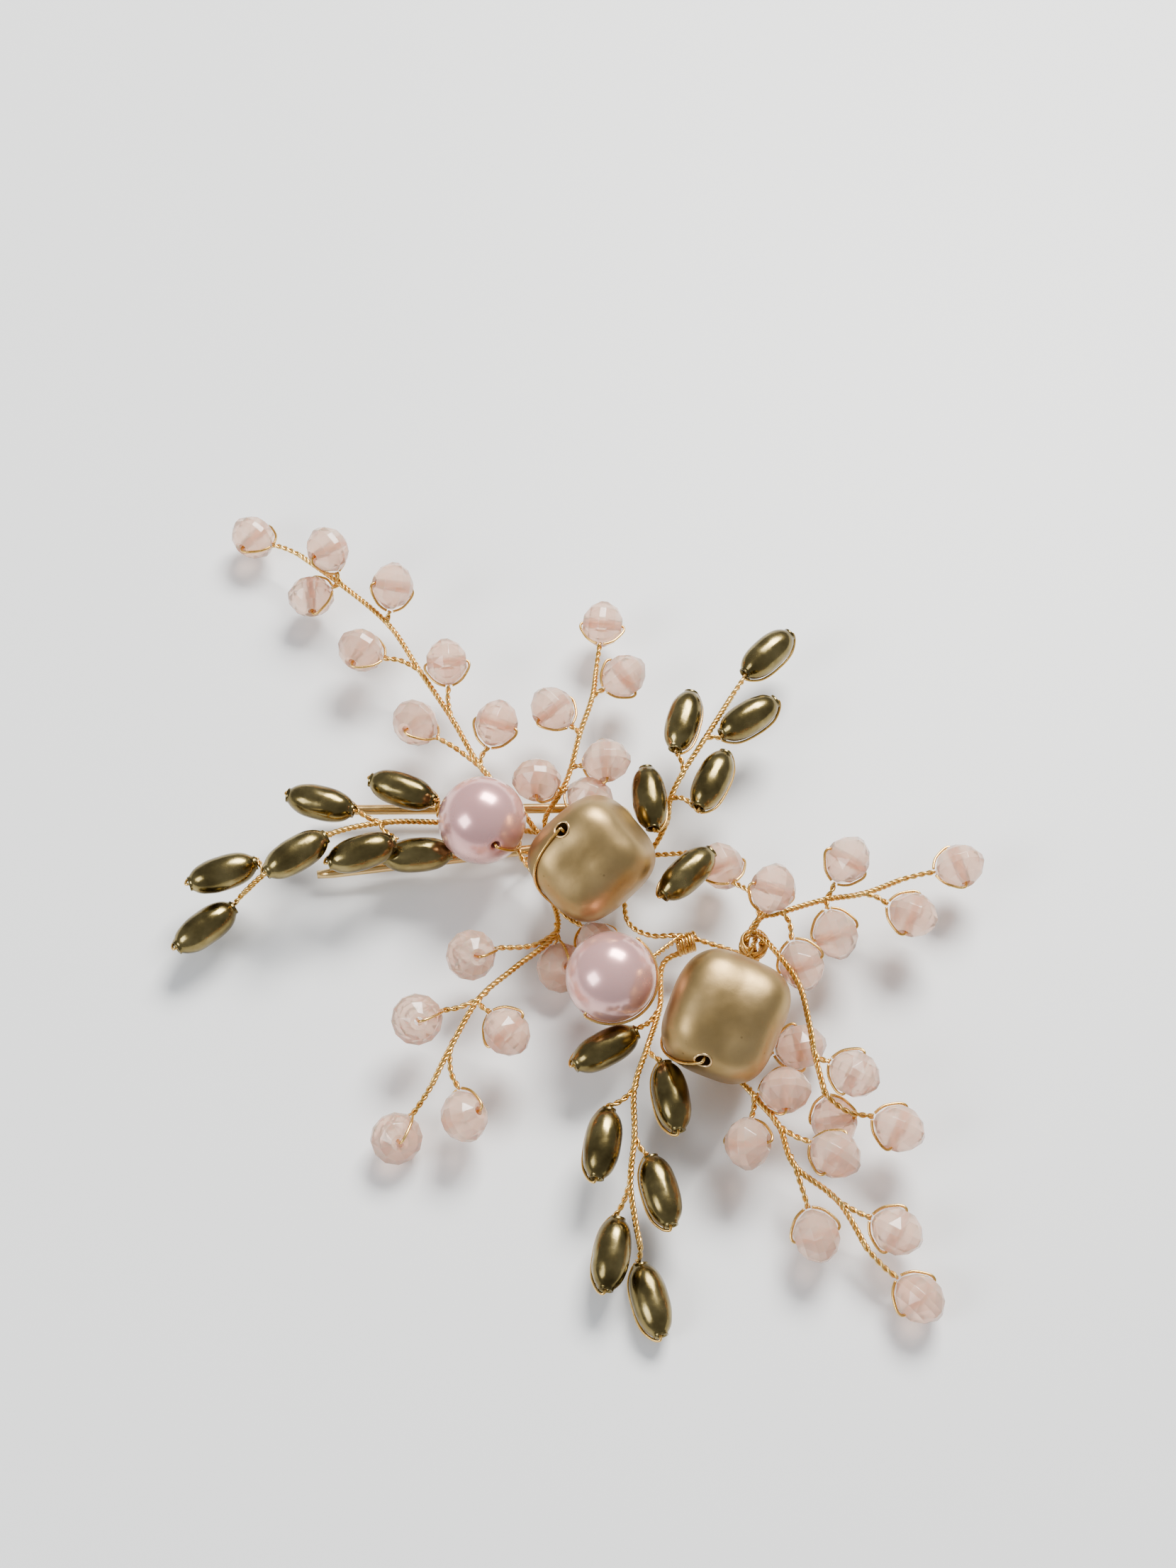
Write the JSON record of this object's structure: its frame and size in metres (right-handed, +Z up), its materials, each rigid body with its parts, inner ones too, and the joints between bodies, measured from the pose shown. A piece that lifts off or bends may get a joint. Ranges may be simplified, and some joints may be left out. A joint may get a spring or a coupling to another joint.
{
  "type": "decorative hair pin",
  "caption": "U-shaped hair pin under a spray of twisted-wire sprigs, with gold nuggets, pink pearls, milky pink faceted beads and antique-bronze oval beads.",
  "frame": {"origin": "centre of the bounding box in plan, on the surface that the hair pin lies on", "axes": "+Z up, away from the hair side; the pin's legs point along -X; +Y is the far end of the spray, its longest extent"},
  "size_m": [0.0922, 0.1026, 0.0169],
  "materials": {
    "pin": "gold-plated steel wire",
    "wire": "bright light-gold craft wire",
    "nugget": "matte antique-gold coat on moulded resin",
    "pearl": "pink pearl lustre",
    "rose": "milky pink faceted glass",
    "bronze": "polished antique-bronze plating"
  },
  "bodies": {
    "root": {"binding_wire": "wire", "far_left_rose_wire": "wire", "far_right_bronze_wire": "wire", "far_rose_wire": "wire", "hair_pin": "pin", "left_bronze_wire": "wire", "lower_nugget": "nugget", "lower_nugget_wire": "wire", "lower_right_rose_wire": "wire", "near_bronze_wire": "wire", "near_left_rose_wire": "wire", "outer_right_rose_wire": "wire", "right_rose_wire": "wire", "upper_nugget": "nugget", "upper_nugget_wire": "wire"},
    "centre_pearl": {"centre_pearl": "pearl"},
    "far_left_rose_bead_1": {"far_left_rose_bead_1": "rose"},
    "far_left_rose_bead_2": {"far_left_rose_bead_2": "rose"},
    "far_left_rose_bead_3": {"far_left_rose_bead_3": "rose"},
    "far_left_rose_bead_4": {"far_left_rose_bead_4": "rose"},
    "far_left_rose_bead_5": {"far_left_rose_bead_5": "rose"},
    "far_left_rose_bead_6": {"far_left_rose_bead_6": "rose"},
    "far_left_rose_bead_7": {"far_left_rose_bead_7": "rose"},
    "far_right_bronze_bead_1": {"far_right_bronze_bead_1": "bronze"},
    "far_right_bronze_bead_2": {"far_right_bronze_bead_2": "bronze"},
    "far_right_bronze_bead_3": {"far_right_bronze_bead_3": "bronze"},
    "far_right_bronze_bead_4": {"far_right_bronze_bead_4": "bronze"},
    "far_right_bronze_bead_6": {"far_right_bronze_bead_6": "bronze"},
    "far_rose_bead_1": {"far_rose_bead_1": "rose"},
    "far_rose_bead_2": {"far_rose_bead_2": "rose"},
    "far_rose_bead_3": {"far_rose_bead_3": "rose"},
    "left_bronze_bead_1": {"left_bronze_bead_1": "bronze"},
    "left_bronze_bead_2": {"left_bronze_bead_2": "bronze"},
    "left_bronze_bead_4": {"left_bronze_bead_4": "bronze"},
    "left_bronze_bead_5": {"left_bronze_bead_5": "bronze"},
    "left_bronze_bead_6": {"left_bronze_bead_6": "bronze"},
    "left_bronze_bead_7": {"left_bronze_bead_7": "bronze"},
    "left_pearl": {"left_pearl": "pearl"},
    "lower_right_rose_bead_1": {"lower_right_rose_bead_1": "rose"},
    "lower_right_rose_bead_2": {"lower_right_rose_bead_2": "rose"},
    "lower_right_rose_bead_3": {"lower_right_rose_bead_3": "rose"},
    "lower_right_rose_bead_4": {"lower_right_rose_bead_4": "rose"},
    "lower_right_rose_bead_5": {"lower_right_rose_bead_5": "rose"},
    "near_bronze_bead_2": {"near_bronze_bead_2": "bronze"},
    "near_bronze_bead_3": {"near_bronze_bead_3": "bronze"},
    "near_bronze_bead_4": {"near_bronze_bead_4": "bronze"},
    "near_bronze_bead_5": {"near_bronze_bead_5": "bronze"},
    "near_bronze_bead_6": {"near_bronze_bead_6": "bronze"},
    "near_left_rose_bead_1": {"near_left_rose_bead_1": "rose"},
    "near_left_rose_bead_2": {"near_left_rose_bead_2": "rose"},
    "near_left_rose_bead_3": {"near_left_rose_bead_3": "rose"},
    "near_left_rose_bead_4": {"near_left_rose_bead_4": "rose"},
    "near_left_rose_bead_5": {"near_left_rose_bead_5": "rose"},
    "outer_right_rose_bead_1": {"outer_right_rose_bead_1": "rose"},
    "outer_right_rose_bead_2": {"outer_right_rose_bead_2": "rose"},
    "right_rose_bead_2": {"right_rose_bead_2": "rose"},
    "right_rose_bead_3": {"right_rose_bead_3": "rose"},
    "right_rose_bead_4": {"right_rose_bead_4": "rose"},
    "right_rose_bead_5": {"right_rose_bead_5": "rose"},
    "right_rose_bead_7": {"right_rose_bead_7": "rose"}
  },
  "joints": [
    {"name": "centre_pearl_spin", "type": "hinge", "parent": "root", "child": "centre_pearl", "pos_m": [0.0035, -0.013, 0.009], "axis": [-0.5599, -0.8144, -0.1527], "continuous": true},
    {"name": "far_left_rose_bead_1_spin", "type": "hinge", "parent": "root", "child": "far_left_rose_bead_1", "pos_m": [-0.04069, 0.0486, 0.0035], "axis": [-0.5258, -0.8334, 0.17], "continuous": true},
    {"name": "far_left_rose_bead_2_spin", "type": "hinge", "parent": "root", "child": "far_left_rose_bead_2", "pos_m": [-0.03048, 0.0428, 0.0095], "axis": [-0.7124, -0.6632, 0.2293], "continuous": true},
    {"name": "far_left_rose_bead_3_spin", "type": "hinge", "parent": "root", "child": "far_left_rose_bead_3", "pos_m": [-0.03288, 0.03956, 0.004], "axis": [0.1126, -0.9936, 0], "continuous": true},
    {"name": "far_left_rose_bead_4_spin", "type": "hinge", "parent": "root", "child": "far_left_rose_bead_4", "pos_m": [-0.02253, 0.03822, 0.0085], "axis": [-0.9207, -0.079, 0.3823], "continuous": true},
    {"name": "far_left_rose_bead_5_spin", "type": "hinge", "parent": "root", "child": "far_left_rose_bead_5", "pos_m": [-0.02624, 0.03068, 0.006], "axis": [-0.4058, -0.8974, 0.1733], "continuous": true},
    {"name": "far_left_rose_bead_6_spin", "type": "hinge", "parent": "root", "child": "far_left_rose_bead_6", "pos_m": [-0.01577, 0.02812, 0.0075], "axis": [-0.9942, -0.1078, 0], "continuous": true},
    {"name": "far_left_rose_bead_7_spin", "type": "hinge", "parent": "root", "child": "far_left_rose_bead_7", "pos_m": [-0.0193, 0.0204, 0.0065], "axis": [-0.4499, -0.7419, 0.4972], "continuous": true},
    {"name": "far_right_bronze_bead_1_spin", "type": "hinge", "parent": "root", "child": "far_right_bronze_bead_1", "pos_m": [0.02244, 0.03013, 0.006], "axis": [0.7071, 0.7071, 0], "continuous": true},
    {"name": "far_right_bronze_bead_2_spin", "type": "hinge", "parent": "root", "child": "far_right_bronze_bead_2", "pos_m": [0.01983, 0.02079, 0.007], "axis": [0.8192, 0.5736, 0], "continuous": true},
    {"name": "far_right_bronze_bead_3_spin", "type": "hinge", "parent": "root", "child": "far_right_bronze_bead_3", "pos_m": [0.01212, 0.01976, 0.008], "axis": [0.2588, 0.9659, 0], "continuous": true},
    {"name": "far_right_bronze_bead_4_spin", "type": "hinge", "parent": "root", "child": "far_right_bronze_bead_4", "pos_m": [0.01528, 0.01195, 0.008], "axis": [0.4226, 0.9063, 0], "continuous": true},
    {"name": "far_right_bronze_bead_6_spin", "type": "hinge", "parent": "root", "child": "far_right_bronze_bead_6", "pos_m": [0.01215, -0.00018, 0.0085], "axis": [-0.7071, -0.7071, 0], "continuous": true},
    {"name": "far_rose_bead_1_spin", "type": "hinge", "parent": "root", "child": "far_rose_bead_1", "pos_m": [0.00277, 0.03496, 0.005], "axis": [-0.9939, 0.1104, 0], "continuous": true},
    {"name": "far_rose_bead_2_spin", "type": "hinge", "parent": "root", "child": "far_rose_bead_2", "pos_m": [0.00526, 0.0268, 0.0065], "axis": [-0.5939, 0.729, 0.3403], "continuous": true},
    {"name": "far_rose_bead_3_spin", "type": "hinge", "parent": "root", "child": "far_rose_bead_3", "pos_m": [-0.00318, 0.02198, 0.007], "axis": [-0.7376, -0.6752, 0], "continuous": true},
    {"name": "left_bronze_bead_1_spin", "type": "hinge", "parent": "root", "child": "left_bronze_bead_1", "pos_m": [-0.02039, 0.01094, 0.0075], "axis": [-0.9397, 0.342, 0], "continuous": true},
    {"name": "left_bronze_bead_2_spin", "type": "hinge", "parent": "root", "child": "left_bronze_bead_2", "pos_m": [-0.0296, 0.00901, 0.008], "axis": [-0.9659, 0.2588, 0], "continuous": true},
    {"name": "left_bronze_bead_4_spin", "type": "hinge", "parent": "root", "child": "left_bronze_bead_4", "pos_m": [-0.02456, 0.00244, 0.0085], "axis": [-0.9397, -0.342, 0], "continuous": true},
    {"name": "left_bronze_bead_5_spin", "type": "hinge", "parent": "root", "child": "left_bronze_bead_5", "pos_m": [-0.03174, 0.00147, 0.01], "axis": [-0.8192, -0.5736, 0], "continuous": true},
    {"name": "left_bronze_bead_6_spin", "type": "hinge", "parent": "root", "child": "left_bronze_bead_6", "pos_m": [-0.04041, 0.0008, 0.0065], "axis": [-0.9397, -0.342, 0], "continuous": true},
    {"name": "left_bronze_bead_7_spin", "type": "hinge", "parent": "root", "child": "left_bronze_bead_7", "pos_m": [-0.04222, -0.00502, 0.0045], "axis": [-0.766, -0.6428, 0], "continuous": true},
    {"name": "left_pearl_spin", "type": "hinge", "parent": "root", "child": "left_pearl", "pos_m": [-0.011, 0.006, 0.0095], "axis": [0.3491, -0.8479, 0.399], "continuous": true},
    {"name": "lower_right_rose_bead_1_spin", "type": "hinge", "parent": "root", "child": "lower_right_rose_bead_1", "pos_m": [0.01811, -0.03104, 0.006], "axis": [0.9415, -0.057, 0.3321], "continuous": true},
    {"name": "lower_right_rose_bead_2_spin", "type": "hinge", "parent": "root", "child": "lower_right_rose_bead_2", "pos_m": [0.02722, -0.03294, 0.008], "axis": [0.5188, 0.8384, 0.1669], "continuous": true},
    {"name": "lower_right_rose_bead_3_spin", "type": "hinge", "parent": "root", "child": "lower_right_rose_bead_3", "pos_m": [0.0252, -0.0406, 0.004], "axis": [0.954, 0.2484, 0.1677], "continuous": true},
    {"name": "lower_right_rose_bead_4_spin", "type": "hinge", "parent": "root", "child": "lower_right_rose_bead_4", "pos_m": [0.03367, -0.04022, 0.0045], "axis": [0.4562, 0.8219, 0.3411], "continuous": true},
    {"name": "lower_right_rose_bead_5_spin", "type": "hinge", "parent": "root", "child": "lower_right_rose_bead_5", "pos_m": [0.03582, -0.04697, 0.0029], "axis": [0.6917, 0.7015, 0.1717], "continuous": true},
    {"name": "near_bronze_bead_2_spin", "type": "hinge", "parent": "root", "child": "near_bronze_bead_2", "pos_m": [0.00997, -0.02591, 0.0065], "axis": [0.1736, -0.9848, 0], "continuous": true},
    {"name": "near_bronze_bead_3_spin", "type": "hinge", "parent": "root", "child": "near_bronze_bead_3", "pos_m": [0.00256, -0.03106, 0.006], "axis": [-0.1736, -0.9848, 0], "continuous": true},
    {"name": "near_bronze_bead_4_spin", "type": "hinge", "parent": "root", "child": "near_bronze_bead_4", "pos_m": [0.0087, -0.03614, 0.0055], "axis": [0.2588, -0.9659, 0], "continuous": true},
    {"name": "near_bronze_bead_5_spin", "type": "hinge", "parent": "root", "child": "near_bronze_bead_5", "pos_m": [0.0035, -0.0425, 0.004], "axis": [-0.1736, -0.9848, 0], "continuous": true},
    {"name": "near_bronze_bead_6_spin", "type": "hinge", "parent": "root", "child": "near_bronze_bead_6", "pos_m": [0.00758, -0.04689, 0.00205], "axis": [0.2588, -0.9659, 0], "continuous": true},
    {"name": "near_left_rose_bead_1_spin", "type": "hinge", "parent": "root", "child": "near_left_rose_bead_1", "pos_m": [-0.012, -0.0095, 0.007], "axis": [0.4005, -0.4537, 0.7961], "continuous": true},
    {"name": "near_left_rose_bead_2_spin", "type": "hinge", "parent": "root", "child": "near_left_rose_bead_2", "pos_m": [-0.01778, -0.01696, 0.0065], "axis": [0.1704, -0.4701, 0.866], "continuous": true},
    {"name": "near_left_rose_bead_3_spin", "type": "hinge", "parent": "root", "child": "near_left_rose_bead_3", "pos_m": [-0.00787, -0.01867, 0.007], "axis": [0.7317, 0.5905, 0.3405], "continuous": true},
    {"name": "near_left_rose_bead_4_spin", "type": "hinge", "parent": "root", "child": "near_left_rose_bead_4", "pos_m": [-0.0198, -0.02937, 0.0028], "axis": [0.2492, -0.5132, 0.8213], "continuous": true},
    {"name": "near_left_rose_bead_5_spin", "type": "hinge", "parent": "root", "child": "near_left_rose_bead_5", "pos_m": [-0.01237, -0.02764, 0.005], "axis": [0.7662, 0.08, 0.6376], "continuous": true},
    {"name": "outer_right_rose_bead_1_spin", "type": "hinge", "parent": "root", "child": "outer_right_rose_bead_1", "pos_m": [0.02962, -0.02425, 0.009], "axis": [0.4649, 0.8194, 0.3352], "continuous": true},
    {"name": "outer_right_rose_bead_2_spin", "type": "hinge", "parent": "root", "child": "outer_right_rose_bead_2", "pos_m": [0.03442, -0.02936, 0.006], "axis": [0.4124, 0.8948, 0.1711], "continuous": true},
    {"name": "right_rose_bead_2_spin", "type": "hinge", "parent": "root", "child": "right_rose_bead_2", "pos_m": [0.02141, -0.00371, 0.012], "axis": [-0.9324, 0.1383, 0.334], "continuous": true},
    {"name": "right_rose_bead_3_spin", "type": "hinge", "parent": "root", "child": "right_rose_bead_3", "pos_m": [0.03026, 0.00154, 0.0085], "axis": [-0.8359, 0.434, 0.3361], "continuous": true},
    {"name": "right_rose_bead_4_spin", "type": "hinge", "parent": "root", "child": "right_rose_bead_4", "pos_m": [0.0433, 0.00193, 0.006], "axis": [-0.2728, 0.9621, 0], "continuous": true},
    {"name": "right_rose_bead_5_spin", "type": "hinge", "parent": "root", "child": "right_rose_bead_5", "pos_m": [0.03753, -0.00437, 0.0065], "axis": [0.4011, 0.8995, 0.1731], "continuous": true},
    {"name": "right_rose_bead_7_spin", "type": "hinge", "parent": "root", "child": "right_rose_bead_7", "pos_m": [0.02473, -0.01057, 0.0065], "axis": [0.9127, 0.2486, 0.3245], "continuous": true}
  ]
}
